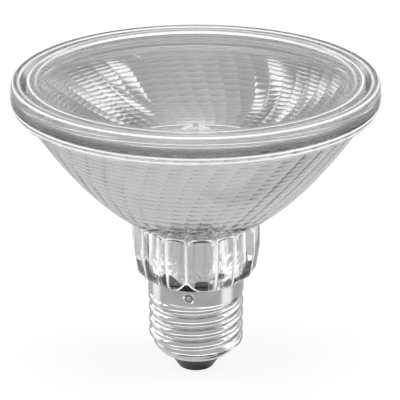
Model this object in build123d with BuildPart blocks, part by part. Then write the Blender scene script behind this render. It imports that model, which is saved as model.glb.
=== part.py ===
"""Halogen reflector lamp: pressed glass bulb with a faceted mirror, a quartz burner and a screw cap.

Millimetres. +Z is the lamp's axis, from the cap's contact at the origin up to the front lens.
Angles are counted from +X towards +Y, so the front of the lamp is at -90 degrees.
"""
import math
import os

from build123d import *

# screw shell of the cap
sheet = 0.35                # rolled sheet metal
collar_radius = 13.2        # plain band above the thread
collar_length = 4.6
thread_root_radius = 12.1
thread_crest_radius = 13.15
thread_pitch = 3.629        # seven turns to the inch
thread_length = 15.1
thread_start_angle = -70    # lower end of the ridge
ridge_radius = 1.3          # section of the rolled ridge
cone_height = 3.7
lip_radius = 9.0            # where the shell grips the insulator
lip_height = 5.3
lip_bevel = 0.25
dent_count = 2              # punched into the glass to hold the cap on
dent_angle = -98.5          # direction of the first one
dent_below_top = 2.3
dent_ball_radius = 1.9
dent_depth = 0.85

# insulator, contact and solder
foot_radius = 5.1
foot_height = 0.5
insulator_top_below_cone = 1.0
eyelet_radius = 1.5
eyelet_bore_radius = 1.1
eyelet_length = 3.5
contact_radius = 4.2
contact_recess = 0.2
solder_dome_radius = 2.6
solder_dome_height = 0.25

# pressed glass reflector
shoulder_gap = 0.25         # between the glass shoulder and the collar's edge
stub_gap = 0.15             # between the glass stub and the collar
stub_end_gap = 0.3          # between the stub's end and the step into the thread
stub_bevel = 0.5
bore_radius = 9.6
bore_top_radius = 8.6
shoulder_radius = 16.6
shoulder_height = 3.35
neck_radius = 17.4
neck_taper_height = 9.0
bowl_apex_above_neck = 11.25
bowl_curve = 55.3           # outer bowl: r * r = bowl_curve * height above its apex
cavity_apex_above_bowl = 2.4
cavity_curve = 51.0         # inner bowl, the same way
bowl_depth = 37.1
flange_thickness = 4.2
flange_radius = 48.2
flange_corner = 2.2
flange_draft = 0.15
mouth_radius = 43.9
floor_radius = 15.0
floor_thickness = 4.0
floor_above_apex = 6.8
flat_pair_count = 8         # a wide and a narrow flat in each pair
wide_flat_angle = 27
ridge_height = 0.12         # polygon corners stand this far outside the rounded ridges
flat_runout_slope = 2.5
notch_width = 6.6           # moulded gap in the shoulder over each dent
notch_rise = 4.0

# mirrored facets inside the bowl
facet_columns = 48
facet_rows = 18
mirror_below_flange_top = 2.1
first_row = 1.2             # height of the top row
row_growth = 1.027          # each row is taller than the one above
facet_phase = 1.8           # angle of the first column of corners at the top row
swirl = 0.63                # degrees of turn for each millimetre down
mirror_thickness = 0.2

# seal and front lens
seal_thickness = 0.2
seal_edge = 0.8             # seal stands back from the edge of the flange
lens_radius = 48.35
lens_height = 3.7           # from the seal to the rim's bead
lens_draft = 0.3
bead_width = 2.3
bead_radius = 1.6
valley_width = 1.0
valley_depth = 0.5
land_drop = 0.2             # land lies this far under the bead
land_groove_radius = 43.5
land_groove_depth = 0.3
land_groove_width = 0.9
window_radius = 41.2
window_drop = 1.2
window_bevel = 0.4
window_thickness = 3.2
spigot_gap = 0.4

# quartz burner
envelope_radius = 5.5
envelope_wall = 1.0
envelope_length = 12.5
burner_above_floor = 3.0    # bottom of the envelope over the bowl's floor
tip_radius = 1.1
tip_length = 1.2
pinch_width = 10.4
pinch_thickness = 3.6
pinch_length = 12.0
pinch_edge = 0.8
foil_width = 2.6
foil_thickness = 0.3
foil_length = 6.5
foil_below_envelope = 3.0
pin_radius = 0.45           # also the supply wires that the crimps join to the pins
pin_spacing = 5.0
pin_length = 6.5
lead_radius = 0.3
lead_bend = 0.8
coil_radius = 0.9
coil_pitch = 0.75
coil_turns = 11
coil_wire_radius = 0.22
coil_above_envelope = 1.4
lead_gap = 0.05             # between each lead's end and the coil
cement_radius = 6.8
cement_below_floor = 0.3    # top of the cement under the bowl's floor

# supply wires inside the cap
wire_bend = 2.0
crimp_radius = 1.1
crimp_length = 4.0
crimp_overlap = 2.0         # length of pin inside each crimp
sleeve_radius = 1.2
sleeve_length = 10.0
weld_radius = 1.1
weld_gap = 0.6              # wire end stands back from the shell
side_wire_reach = 2.6       # straight end beside the weld
side_wire_slope = 5.5       # height of the slope between crimp and weld
centre_wire_slope = 5.0
wire_below_crimp = 3.0      # straight run under each crimp
wire_in_solder = 1.0

# heights along the axis
contact_bottom = solder_dome_height
foot_bottom = foot_height
cone_top = lip_height + cone_height
collar_bottom = cone_top + thread_length
collar_top = collar_bottom + collar_length
neck_bottom = collar_top + shoulder_gap
stub_bottom = collar_bottom + stub_end_gap
bowl_apex = neck_bottom + bowl_apex_above_neck
cavity_apex = bowl_apex + cavity_apex_above_bowl
floor_top = bowl_apex + floor_above_apex
floor_bottom = floor_top - floor_thickness
flange_bottom = bowl_apex + bowl_depth
flange_top = flange_bottom + flange_thickness
facet_top = flange_top - mirror_below_flange_top
lens_bottom = flange_top + seal_thickness
lens_top = lens_bottom + lens_height
envelope_bottom = floor_top + burner_above_floor
envelope_top = envelope_bottom + envelope_length
foil_top = envelope_bottom - foil_below_envelope
foil_bottom = foil_top - foil_length
pin_bottom = foil_bottom - pin_length
coil_bottom = envelope_bottom + coil_above_envelope
coil_top = coil_bottom + coil_pitch * coil_turns
insulator_top = cone_top - insulator_top_below_cone

# widths that other pieces share
inner_root_radius = thread_root_radius - sheet
stub_radius = collar_radius - sheet - stub_gap
pin_offset = pin_spacing / 2
seal_inner_radius = mouth_radius + seal_edge
seal_outer_radius = flange_radius - seal_edge

os.makedirs("parts", exist_ok=True)


def write(piece, name):
    """Label a finished piece and write it under the same name."""
    piece.label = name
    export_step(piece, f"parts/{name}.step")


def bowl_height(radius):
    """Height of the outer bowl at this radius."""
    return bowl_apex + radius**2 / bowl_curve


def bowl_radius(height):
    """Radius of the outer bowl at this height."""
    return math.sqrt(bowl_curve * (height - bowl_apex))


def cavity_radius(height):
    """Radius of the inner bowl at this height."""
    return math.sqrt(cavity_curve * (height - cavity_apex))


def wire(points, radius, bend):
    """A round wire through these points, with the same bend at each corner."""
    with BuildPart() as strand:
        with BuildLine() as path:
            FilletPolyline(*points, radius=bend)
        with BuildSketch(Plane(origin=path.line @ 0, z_dir=path.line % 0)):
            Circle(radius)
        sweep()
    return strand.part


# rolled screw shell: collar with punched dents, thread and the cone that grips the insulator
lip_inner_radius = lip_radius - lip_bevel
lip_inner_height = lip_height + lip_bevel
cone_bulge = (0.62 * thread_root_radius + 0.38 * lip_radius, lip_height + 0.4 * cone_height)
cone_bulge_inside = (cone_bulge[0] - 0.75 * sheet, cone_bulge[1] + 0.5 * sheet)
thread_start = cone_top - 0.2 * ridge_radius
dent_centre_radius = collar_radius - dent_depth + dent_ball_radius
dent_height = collar_top - dent_below_top


def thread_ridge(radius):
    """The rolled ridge with this section radius, as a bar along the helix."""
    with BuildPart() as ridge:
        with BuildLine(Plane.XY.offset(thread_start)) as path:
            Helix(
                pitch=thread_pitch,
                height=collar_bottom - thread_start,
                radius=thread_crest_radius - ridge_radius,
            )
        with BuildSketch(Plane(origin=path.line @ 0, z_dir=path.line % 0)):
            Circle(radius)
        sweep(is_frenet=True)
        with Locations(path.line @ 0):
            Sphere(radius)
    return ridge.part


def dent_balls(radius):
    """Balls of this radius at the dents."""
    with BuildPart() as balls:
        with Locations((0, 0, dent_height)):
            with PolarLocations(dent_centre_radius, dent_count, start_angle=dent_angle):
                Sphere(radius)
    return balls.part


with BuildPart() as dent_insides:
    add(dent_balls(dent_ball_radius + sheet))
    with Locations((0, 0, dent_height)):
        Cylinder(collar_radius - sheet / 2, 2 * collar_length, mode=Mode.INTERSECT)

with BuildPart() as cap_shell:
    with BuildSketch(Plane.XZ):
        with BuildLine():
            Polyline(
                (0, collar_top),
                (collar_radius, collar_top),
                (collar_radius, collar_bottom),
                (thread_root_radius, collar_bottom - sheet),
                (thread_root_radius, cone_top),
            )
            ThreePointArc((thread_root_radius, cone_top), cone_bulge, (lip_radius, lip_height))
            Polyline(
                (lip_radius, lip_height),
                (lip_inner_radius, lip_inner_height),
                (0, lip_inner_height),
                (0, collar_top),
            )
        make_face()
    revolve(axis=Axis.Z)
    add(thread_ridge(ridge_radius), rotation=(0, 0, thread_start_angle))
    with BuildSketch(Plane.XZ) as shell_inside:
        with BuildLine():
            Polyline(
                (0, collar_top),
                (collar_radius - sheet, collar_top),
                (collar_radius - sheet, collar_bottom),
                (inner_root_radius, collar_bottom - sheet),
                (inner_root_radius, cone_top),
            )
            ThreePointArc(
                (inner_root_radius, cone_top), cone_bulge_inside, (lip_inner_radius, lip_inner_height)
            )
            Polyline((lip_inner_radius, lip_inner_height), (0, lip_inner_height), (0, collar_top))
        make_face()
    revolve(axis=Axis.Z, mode=Mode.SUBTRACT)
    add(dent_insides.part)
    add(dent_balls(dent_ball_radius), mode=Mode.SUBTRACT)
write(cap_shell.part, "cap_shell")

# black glass insulator in the foot of the shell
with BuildPart() as insulator:
    with BuildSketch(Plane.XZ):
        with BuildLine():
            Polyline(
                (eyelet_radius, foot_bottom + contact_recess),
                (contact_radius, foot_bottom + contact_recess),
                (contact_radius, foot_bottom),
                (foot_radius, foot_bottom),
            )
            foot_side = (0.42 * lip_inner_radius + 0.58 * foot_radius, 0.5 * (foot_bottom + lip_height))
            ThreePointArc((foot_radius, foot_bottom), foot_side, (lip_inner_radius, lip_inner_height))
            ThreePointArc(
                (lip_inner_radius, lip_inner_height), cone_bulge_inside, (inner_root_radius, cone_top)
            )
            Polyline(
                (inner_root_radius, cone_top),
                (inner_root_radius - sheet, cone_top),
                (eyelet_radius, insulator_top),
                (eyelet_radius, foot_bottom + contact_recess),
            )
        make_face()
    revolve(axis=Axis.Z)
write(insulator.part, "insulator")

# contact eyelet: a plate with a tube that passes up through the insulator
plate_top = foot_bottom + contact_recess
with BuildPart() as contact:
    with BuildSketch(Plane.XZ):
        with BuildLine():
            Polyline(
                (eyelet_bore_radius, contact_bottom),
                (contact_radius, contact_bottom),
                (contact_radius, plate_top),
                (eyelet_radius, plate_top),
                (eyelet_radius, plate_top + eyelet_length),
                (eyelet_bore_radius, plate_top + eyelet_length),
                close=True,
            )
        make_face()
    revolve(axis=Axis.Z)
write(contact.part, "contact")

# adhesive ring in the joint under the lens
with BuildPart() as rim_seal:
    with BuildSketch(Plane.XY.offset(flange_top)):
        Circle(seal_outer_radius)
        Circle(seal_inner_radius, mode=Mode.SUBTRACT)
    extrude(amount=seal_thickness)
write(rim_seal.part, "rim_seal")

# facets: rings of corners down the bowl, each turned a little from the last


def row_height(row):
    """Height of the edge under this many rows of facets."""
    return facet_top - first_row * (row_growth**row - 1) / (row_growth - 1)


def facet_core(inset):
    """The faceted space inside the bowl, this far inside the glass."""
    with BuildPart() as core:
        for row in range(facet_rows + 1):
            height = row_height(row)
            with BuildSketch(Plane.XY.offset(height)):
                RegularPolygon(
                    radius=cavity_radius(height) - inset,
                    side_count=facet_columns,
                    rotation=facet_phase - swirl * (facet_top - height),
                )
        loft(ruled=True)
    return core.part


facet_bottom = row_height(facet_rows)
facet_space = facet_core(0)

# mirror: thin metal layer on the facets
with BuildPart() as mirror:
    add(facet_space)
    add(facet_core(mirror_thickness), mode=Mode.SUBTRACT)
write(mirror.part, "mirror")

# pressed glass reflector: flange, bowl, fluted neck with a rounded shoulder, and the stub in the collar
shoulder_top = neck_bottom + shoulder_height
shoulder_bulge = (0.3 * collar_radius + 0.7 * shoulder_radius, neck_bottom + 0.35 * shoulder_height)
bowl_top_radius = bowl_radius(flange_bottom)
narrow_flat_angle = 360 / flat_pair_count - wide_flat_angle
flat_top = bowl_height(neck_radius)
flat_runout = 2 * neck_radius


def neck_side(scale, corner):
    """Side of the neck from the shoulder up, scaled towards the axis, as points in its half section."""
    with BuildLine() as side:
        low = (scale * (collar_radius + corner), neck_bottom)
        bulge = (scale * (shoulder_bulge[0] + corner), shoulder_bulge[1])
        high = (scale * (shoulder_radius + corner), shoulder_top)
        ThreePointArc(low, bulge, high)
        Line(high, (scale * (neck_radius + corner), neck_bottom + neck_taper_height))
    return side.line


with BuildPart() as reflector:
    with BuildSketch(Plane.XZ):
        with BuildLine():
            Polyline(
                (0, neck_bottom),
                (0, stub_bottom),
                (stub_radius - stub_bevel, stub_bottom),
                (stub_radius, stub_bottom + stub_bevel),
                (stub_radius, neck_bottom),
                (collar_radius, neck_bottom),
            )
            add(neck_side(1, 0))
            Line((neck_radius, neck_bottom + neck_taper_height), (neck_radius, bowl_height(neck_radius)))
            Bezier(
                (neck_radius, bowl_height(neck_radius)),
                (
                    (neck_radius + bowl_top_radius) / 2,
                    bowl_apex + neck_radius * bowl_top_radius / bowl_curve,
                ),
                (bowl_top_radius, flange_bottom),
            )
            Line((bowl_top_radius, flange_bottom), (flange_radius - flange_corner, flange_bottom))
            ThreePointArc(
                (flange_radius - flange_corner, flange_bottom),
                (flange_radius - 0.4 * flange_corner, flange_bottom + 0.3 * flange_corner),
                (flange_radius - flange_draft, flange_bottom + flange_corner),
            )
            Polyline(
                (flange_radius - flange_draft, flange_bottom + flange_corner),
                (flange_radius, flange_top),
                (0, flange_top),
                (0, neck_bottom),
            )
        make_face()
    revolve(axis=Axis.Z)
    # flats of the neck, in pairs
    for pair in range(flat_pair_count):
        ridge_angle = dent_angle + pair * 360 / flat_pair_count
        for start, span in ((0, wide_flat_angle), (wide_flat_angle, narrow_flat_angle)):
            middle = math.radians(ridge_angle + start + span / 2)
            half_span = math.radians(span / 2)
            outward = (math.cos(middle), math.sin(middle), 0)
            with BuildSketch(Plane(origin=(0, 0, 0), x_dir=outward, z_dir=(outward[1], -outward[0], 0))):
                with BuildLine():
                    add(neck_side(math.cos(half_span), ridge_height))
                    flat_radius = math.cos(half_span) * (neck_radius + ridge_height)
                    Polyline(
                        (flat_radius, neck_bottom + neck_taper_height),
                        (flat_radius, flat_top),
                        (flat_radius + flat_runout, flat_top + flat_runout / flat_runout_slope),
                        (flat_radius + flat_runout, neck_bottom),
                        (math.cos(half_span) * (collar_radius + ridge_height), neck_bottom),
                    )
                make_face()
            extrude(amount=math.tan(half_span) * flat_radius, both=True, mode=Mode.SUBTRACT)
    # gap in the shoulder over each dent, and the dent's seat in the stub
    for dent in range(dent_count):
        direction = math.radians(dent_angle + dent * 360 / dent_count)
        outward = (math.cos(direction), math.sin(direction), 0)
        gap_plane = Plane(origin=(0, 0, 0), x_dir=(-outward[1], outward[0], 0), z_dir=outward)
        with BuildSketch(gap_plane.offset(stub_radius)):
            with BuildLine():
                left, right = (-notch_width / 2, neck_bottom), (notch_width / 2, neck_bottom)
                peak = (0, neck_bottom + notch_rise)
                ThreePointArc(left, (-0.2 * notch_width, neck_bottom + 0.3 * notch_rise), peak)
                ThreePointArc(peak, (0.2 * notch_width, neck_bottom + 0.3 * notch_rise), right)
                Line(right, left)
            make_face()
        extrude(amount=neck_radius, mode=Mode.SUBTRACT)
    add(dent_balls(dent_ball_radius + sheet + stub_gap), mode=Mode.SUBTRACT)
    # bore of the neck, hole in the floor, bowl and mouth
    floor_edge = cavity_radius(facet_bottom) * math.cos(math.pi / facet_columns)
    with BuildSketch(Plane.XZ):
        with BuildLine():
            Polyline(
                (0, stub_bottom),
                (bore_radius, stub_bottom),
                (bore_top_radius, floor_bottom),
                (cement_radius, floor_bottom),
                (cement_radius, floor_top),
                (floor_radius, floor_top),
            )
            ThreePointArc(
                (floor_radius, floor_top),
                (0.42 * floor_radius + 0.58 * floor_edge, 0.6 * floor_top + 0.4 * facet_bottom),
                (floor_edge, facet_bottom),
            )
            Polyline((floor_edge, facet_bottom), (0, facet_bottom), (0, stub_bottom))
        make_face()
    revolve(axis=Axis.Z, mode=Mode.SUBTRACT)
    with Locations((0, 0, facet_top)):
        Cylinder(
            mouth_radius,
            flange_top - facet_top,
            align=(Align.CENTER, Align.CENTER, Align.MIN),
            mode=Mode.SUBTRACT,
        )
    add(facet_space, mode=Mode.SUBTRACT)
write(reflector.part, "reflector")

# pressed glass lens: beaded rim, valley, land with a fine groove, and a sunk window
window_top = lens_top - window_drop
land_top = lens_top - land_drop
land_radius = lens_radius - bead_width - valley_width
spigot_radius = mouth_radius - spigot_gap
with BuildPart() as lens:
    with BuildSketch(Plane.XZ):
        with BuildLine():
            Polyline(
                (0, window_top),
                (0, window_top - window_thickness),
                (spigot_radius - window_bevel, window_top - window_thickness),
                (spigot_radius, lens_bottom - window_bevel),
                (spigot_radius, lens_bottom),
                (lens_radius - lens_draft / 2, lens_bottom),
                (lens_radius, lens_bottom + lens_draft),
                (lens_radius - lens_draft, lens_top - bead_radius),
            )
            bead_peak = (lens_radius - bead_width / 2, lens_top)
            ThreePointArc(
                (lens_radius - lens_draft, lens_top - bead_radius),
                (lens_radius - 0.2 * bead_width - lens_draft / 2, lens_top - 0.28 * bead_radius),
                bead_peak,
            )
            ThreePointArc(
                bead_peak,
                (lens_radius - 0.8 * bead_width, lens_top - 0.3 * valley_depth),
                (lens_radius - bead_width, lens_top - valley_depth),
            )
            Polyline(
                (lens_radius - bead_width, lens_top - valley_depth),
                (land_radius, land_top),
                (land_groove_radius + land_groove_width / 2, land_top),
                (land_groove_radius, land_top - land_groove_depth),
                (land_groove_radius - land_groove_width / 2, land_top),
                (window_radius + window_bevel, land_top),
                (window_radius, window_top),
                (0, window_top),
            )
        make_face()
    revolve(axis=Axis.Z)
write(lens.part, "lens")

# quartz burner, with its pieces sealed in or held by the pinch


def upright(radius, x, low, high):
    """A straight round bar between two heights."""
    with BuildPart() as bar:
        with BuildSketch(Plane.XY.offset(low)):
            with Locations((x, 0)):
                Circle(radius)
        extrude(amount=high - low)
    return bar.part


foils, pins = {}, {}
for side, x in (("left", -pin_offset), ("right", pin_offset)):
    with BuildPart() as foil:
        with BuildSketch(Plane.XY.offset(foil_bottom)):
            with Locations((x, 0)):
                Rectangle(foil_width, foil_thickness)
        extrude(amount=foil_length)
    foils[side] = foil.part
    pins[side] = upright(pin_radius, x, pin_bottom, foil_bottom)
    write(foils[side], f"foil_{side}")
    write(pins[side], f"pin_{side}")

inner_lead_long = wire(
    [(-pin_offset, 0, foil_top), (-pin_offset, 0, coil_top), (-lead_gap, 0, coil_top)],
    lead_radius,
    lead_bend,
)
inner_lead_short = wire(
    [(pin_offset, 0, foil_top), (pin_offset, 0, coil_bottom), (lead_gap, 0, coil_bottom)],
    lead_radius,
    lead_bend,
)
write(inner_lead_long, "inner_lead_long")
write(inner_lead_short, "inner_lead_short")

with BuildPart() as coil:
    with BuildLine(Plane.XY.offset(coil_bottom)) as coil_line:
        Helix(pitch=coil_pitch, height=coil_top - coil_bottom, radius=coil_radius)
    with BuildSketch(Plane(origin=coil_line.line @ 0, z_dir=coil_line.line % 0)):
        Circle(coil_wire_radius)
    sweep(is_frenet=True)
with BuildPart() as filament:
    with Locations((0, -coil_radius, 0)):   # both ends meet the leads, in the plane of the pinch
        add(coil.part, rotation=(0, 0, 90))
write(filament.part, "filament")


def envelope(radius, low, high):
    """A round-topped tube filled solid, between two heights."""
    corner = 0.3 * radius
    with BuildPart() as blank:
        with BuildSketch(Plane.XZ):
            with BuildLine():
                Polyline((0, high), (0, low), (radius - corner, low))
                RadiusArc((radius - corner, low), (radius, low + corner), -corner)
                Line((radius, low + corner), (radius, high - radius))
                RadiusArc((radius, high - radius), (0, high), -radius)
            make_face()
        revolve(axis=Axis.Z)
    return blank.part


with BuildPart() as burner:
    add(envelope(envelope_radius, envelope_bottom, envelope_top))
    with BuildSketch(Plane.XY.offset(envelope_top - tip_radius)):
        Circle(tip_radius)
    extrude(amount=tip_length + tip_radius, taper=8)
    with BuildSketch(Plane.XY.offset(envelope_bottom - pinch_length)):
        RectangleRounded(pinch_width, pinch_thickness, pinch_edge)
    extrude(amount=pinch_length + envelope_wall / 2)
    add(
        envelope(
            envelope_radius - envelope_wall, envelope_bottom + envelope_wall, envelope_top - envelope_wall
        ),
        mode=Mode.SUBTRACT,
    )
    for piece in (*foils.values(), *pins.values(), inner_lead_long, inner_lead_short):
        add(piece, mode=Mode.SUBTRACT)
write(burner.part, "burner")

# ceramic cement around the pinch, in the hole of the bowl's floor
with BuildPart() as burner_cement:
    with BuildSketch(Plane.XY.offset(floor_bottom)):
        Circle(cement_radius)
        RectangleRounded(pinch_width, pinch_thickness, pinch_edge, mode=Mode.SUBTRACT)
    extrude(amount=floor_thickness - cement_below_floor)
write(burner_cement.part, "burner_cement")

# supply wires, crimped to the pins, with a sleeve, a weld on the shell and solder in the contact
wire_top_bend = pin_bottom - crimp_length + crimp_overlap - wire_below_crimp
weld_height = thread_start + thread_pitch * (2.5 - thread_start_angle / 360)
centre_wire = wire(
    [
        (-pin_offset, 0, pin_bottom),
        (-pin_offset, 0, wire_top_bend),
        (0, 0, wire_top_bend - centre_wire_slope),
        (0, 0, contact_bottom + wire_in_solder),
    ],
    pin_radius,
    wire_bend,
)
side_wire = wire(
    [
        (pin_offset, 0, pin_bottom),
        (pin_offset, 0, weld_height + side_wire_slope),
        (inner_root_radius - weld_gap - side_wire_reach, 0, weld_height),
        (inner_root_radius - weld_gap, 0, weld_height),
    ],
    pin_radius,
    wire_bend,
)
write(centre_wire, "centre_wire")
write(side_wire, "side_wire")

for side, x in (("left", -pin_offset), ("right", pin_offset)):
    crimp_bottom = pin_bottom - crimp_length + crimp_overlap
    with BuildPart() as crimp:
        with BuildSketch(Plane.XY.offset(crimp_bottom)):
            with Locations((x, 0)):
                Circle(crimp_radius)
                Circle(pin_radius, mode=Mode.SUBTRACT)
        extrude(amount=crimp_length)
    write(crimp.part, f"crimp_{side}")

with BuildPart() as wire_sleeve:
    with BuildSketch(Plane.XY.offset(cone_top)):
        Circle(sleeve_radius)
        Circle(pin_radius, mode=Mode.SUBTRACT)
    extrude(amount=sleeve_length)
write(wire_sleeve.part, "wire_sleeve")

with BuildPart() as side_weld:
    with Locations((inner_root_radius - weld_gap, 0, weld_height)):
        Sphere(weld_radius)
    with Locations((0, 0, weld_height)):
        Cylinder(inner_root_radius, 4 * weld_radius, mode=Mode.INTERSECT)
    add(side_wire, mode=Mode.SUBTRACT)
write(side_weld.part, "side_weld")

with BuildPart() as contact_solder:
    with BuildSketch(Plane.XZ):
        with BuildLine():
            Polyline(
                (0, 0),
                (0, plate_top + eyelet_bore_radius),
                (eyelet_bore_radius, plate_top + eyelet_bore_radius),
                (eyelet_bore_radius, contact_bottom),
                (solder_dome_radius, contact_bottom),
            )
            ThreePointArc(
                (solder_dome_radius, contact_bottom),
                (0.6 * solder_dome_radius, 0.3 * contact_bottom),
                (0.2 * solder_dome_radius, 0),
            )
            Line((0.2 * solder_dome_radius, 0), (0, 0))
        make_face()
    revolve(axis=Axis.Z)
    add(centre_wire, mode=Mode.SUBTRACT)
write(contact_solder.part, "contact_solder")
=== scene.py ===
"""Halogen reflector lamp: pressed glass bulb with a faceted mirror, a quartz burner and a screw cap.

Lengths in the sections are millimetres and become metres where a mesh is made. +Z is the lamp's axis and -Y
its front. Angles are degrees, counted from +X towards +Y.
"""

import math

import bmesh
import bpy
import numpy as np
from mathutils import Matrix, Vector


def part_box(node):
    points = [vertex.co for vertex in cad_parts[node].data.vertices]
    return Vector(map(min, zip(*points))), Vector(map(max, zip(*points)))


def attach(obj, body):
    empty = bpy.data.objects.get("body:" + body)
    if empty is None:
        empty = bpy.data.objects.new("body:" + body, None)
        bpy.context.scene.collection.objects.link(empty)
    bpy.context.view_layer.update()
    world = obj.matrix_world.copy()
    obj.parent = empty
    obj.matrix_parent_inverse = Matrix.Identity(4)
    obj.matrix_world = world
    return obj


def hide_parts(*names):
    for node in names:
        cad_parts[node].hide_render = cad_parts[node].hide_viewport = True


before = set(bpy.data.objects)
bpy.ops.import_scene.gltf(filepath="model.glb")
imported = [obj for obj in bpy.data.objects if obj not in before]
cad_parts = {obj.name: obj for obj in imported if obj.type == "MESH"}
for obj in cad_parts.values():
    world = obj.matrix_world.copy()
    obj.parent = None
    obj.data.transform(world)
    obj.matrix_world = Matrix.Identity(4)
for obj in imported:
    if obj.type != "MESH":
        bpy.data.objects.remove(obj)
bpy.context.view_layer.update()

# Screw shell of the cap. Thin aluminium sheet, drawn into a cup and rolled with a round thread, then punched
# twice through the collar into the glass, which holds the cap on. Bright, with fine lines left by the rolls.
mm = 0.001
sheet = 0.35
collar_radius = 13.2
collar_length = 4.6
thread_root_radius = 12.1
thread_crest_radius = 13.15
thread_pitch = 3.629
thread_start_angle = -70
cone_height = 3.7
lip_radius = 9.0
crest_arc = 1.35            # section radius of the thread's crest
thread_fade = 50            # degrees over which the thread rises at each end
thread_lead = 0.26          # the thread starts this far below the cone's top
dent_count = 2
dent_angle = -98.5
dent_below_top = 2.3
dent_ball_radius = 1.9
dent_depth = 0.85
dent_rim = 0.35             # rounding of the dent's edge
dent_reach = 9              # degrees to each side of a dent with finer columns
edge_roll = 0.25            # rounding of the sheet's edge at the foot
collar_edge = 0.05          # and at the collar's top
collar_bend = 0.77          # height over which the thread's end bends out to the collar
shell_columns = 240
shell_step = 0.14           # height of one ring of faces


def heights(node):
    """Lowest and highest point of a CAD node, in millimetres."""
    low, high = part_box(node)
    return low.z / mm, high.z / mm


def circle_through(first, middle, last, steps):
    """Points of the round arc through three points of a half section."""
    (ax, ay), (bx, by), (cx, cy) = first, middle, last
    d = 2 * (ax * (by - cy) + bx * (cy - ay) + cx * (ay - by))
    x = ((ax**2 + ay**2) * (by - cy) + (bx**2 + by**2) * (cy - ay) + (cx**2 + cy**2) * (ay - by)) / d
    y = ((ax**2 + ay**2) * (cx - bx) + (bx**2 + by**2) * (ax - cx) + (cx**2 + cy**2) * (bx - ax)) / d
    radius = math.hypot(ax - x, ay - y)
    start, half, end = (math.atan2(q - y, p - x) for p, q in (first, middle, last))
    turn = (end - start) % math.tau
    if (half - start) % math.tau > turn:
        turn -= math.tau
    angles = [start + turn * k / steps for k in range(steps + 1)]
    return [(x + radius * math.cos(a), y + radius * math.sin(a)) for a in angles]


def smooth_step(x):
    """0 below 0, 1 above 1 and a soft rise between."""
    x = np.clip(x, 0, 1)
    return x * x * (3 - 2 * x)


def ring(angles, radius, height):
    """One ring of points: angles in degrees, radius and height as numbers or one for each angle."""
    a = np.radians(angles)
    radius = radius + 0 * a
    return np.stack([radius * np.cos(a), radius * np.sin(a), height + 0 * a], axis=1)


def add_piece(name, rings, materials, nodes, loop=False, shared=None, crease=32, highlight_shares=None):
    """A closed skin over rings of points in millimetres, which stands for its CAD nodes.

    A loop joins the last ring to the first; without it each end is closed with a flat face. shared maps a
    range of rings to the number of its own material. The last argument gives each ring's share of painted
    highlight, where the glass is drawn white, rough and nearly opaque.
    """
    count = len(rings[0])
    mesh = bpy.data.meshes.new(name)
    corners = []
    last = len(rings) if loop else len(rings) - 1
    for low in range(last):
        high = (low + 1) % len(rings)
        for i in range(count):
            j = (i + 1) % count
            corners.append((low * count + i, low * count + j, high * count + j, high * count + i))
    if not loop:
        corners.append(tuple(range(count))[::-1])
        corners.append(tuple(range((len(rings) - 1) * count, len(rings) * count)))
    mesh.from_pydata((np.concatenate(rings) * mm).tolist(), [], corners)
    for material in materials:
        mesh.materials.append(material)
    if highlight_shares is not None:
        mesh.attributes.new("painted_highlight", "FLOAT", "POINT").data.foreach_set("value", np.concatenate(highlight_shares))
    for (start, stop), number in (shared or {}).items():
        for face in range(start * count, stop * count):
            mesh.polygons[face].material_index = number
    skin = bmesh.new()
    skin.from_mesh(mesh)
    bmesh.ops.recalc_face_normals(skin, faces=skin.faces)
    skin.to_mesh(mesh)
    skin.free()
    mesh.shade_smooth()
    mesh.set_sharp_from_angle(angle=math.radians(crease))
    piece = bpy.data.objects.new(name, mesh)
    bpy.context.scene.collection.objects.link(piece)
    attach(piece, "root")
    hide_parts(*nodes)
    return piece


def colour(code):
    """Linear colour of an sRGB hex value such as #c8c8c8."""
    parts = [int(code[k:k + 2], 16) / 255 for k in (1, 3, 5)]
    return tuple(c / 12.92 if c <= 0.04045 else ((c + 0.055) / 1.055) ** 2.4 for c in parts) + (1.0,)


def add_node(tree, kind, inputs=None, stops=(), **settings):
    """Add a shader node with its settings, and its inputs as values or as links from other nodes.

    stops are those of a colour ramp, each a place from 0 to 1 and an sRGB hex value.
    """
    node = tree.nodes.new(kind)
    for name, value in settings.items():
        setattr(node, name, value)
    for name, value in (inputs or {}).items():
        if isinstance(value, bpy.types.NodeSocket):
            tree.links.new(value, node.inputs[name])
        else:
            node.inputs[name].default_value = value
    for _ in stops[2:]:
        node.color_ramp.elements.new(0.5)
    for number, (place, code) in enumerate(stops):
        node.color_ramp.elements[number].position = place
        node.color_ramp.elements[number].color = colour(code)
    return node


def new_material(name):
    """An empty material, its node tree, and the point on the surface in metres."""
    material = bpy.data.materials.new(name)
    material.use_nodes = True
    tree = material.node_tree
    tree.nodes.clear()
    return material, tree, add_node(tree, "ShaderNodeTexCoord").outputs["Object"]


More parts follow.
